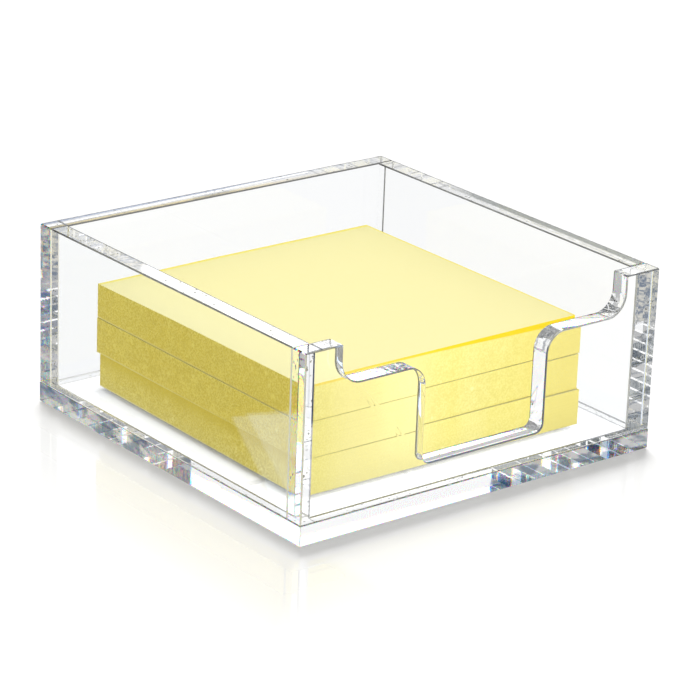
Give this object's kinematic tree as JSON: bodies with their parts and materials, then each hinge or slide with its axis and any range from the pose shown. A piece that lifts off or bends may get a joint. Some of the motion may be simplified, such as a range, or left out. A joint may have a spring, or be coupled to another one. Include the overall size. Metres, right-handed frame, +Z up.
{
  "type": "memo pad holder",
  "caption": "Open square desk tray bonded from clear acrylic sheet, with a stepped finger cut-out in the front panel, holding a stack of yellow sticky memo pads that lift out.",
  "frame": {"origin": "centre of the holder's underside, on the surface it stands on", "axes": "+X to the user's right along the front panel, +Y from the front panel to the back panel, +Z up"},
  "size_m": [0.1, 0.1, 0.0435],
  "materials": {
    "clear_acrylic": "gloss",
    "memo_paper": "matte"
  },
  "bodies": {
    "holder": {"base_plate": "clear_acrylic", "front_panel": "clear_acrylic", "back_panel": "clear_acrylic", "left_wall": "clear_acrylic", "right_wall": "clear_acrylic"},
    "pad_bottom": {"memo_pad_bottom": "memo_paper"},
    "pad_middle": {"memo_pad_middle": "memo_paper"},
    "pad_top": {"memo_pad_top": "memo_paper"}
  },
  "joints": [
    {"name": "lift_bottom_pad", "type": "slide", "parent": "holder", "child": "pad_bottom", "axis": [0, 0, 1], "range_m": [0, 0.0438]},
    {"name": "lift_middle_pad", "type": "slide", "parent": "pad_bottom", "child": "pad_middle", "axis": [0, 0, 1], "range_m": [0, 0.0352]},
    {"name": "lift_top_pad", "type": "slide", "parent": "pad_middle", "child": "pad_top", "axis": [0, 0, 1], "range_m": [0, 0.0266]}
  ]
}
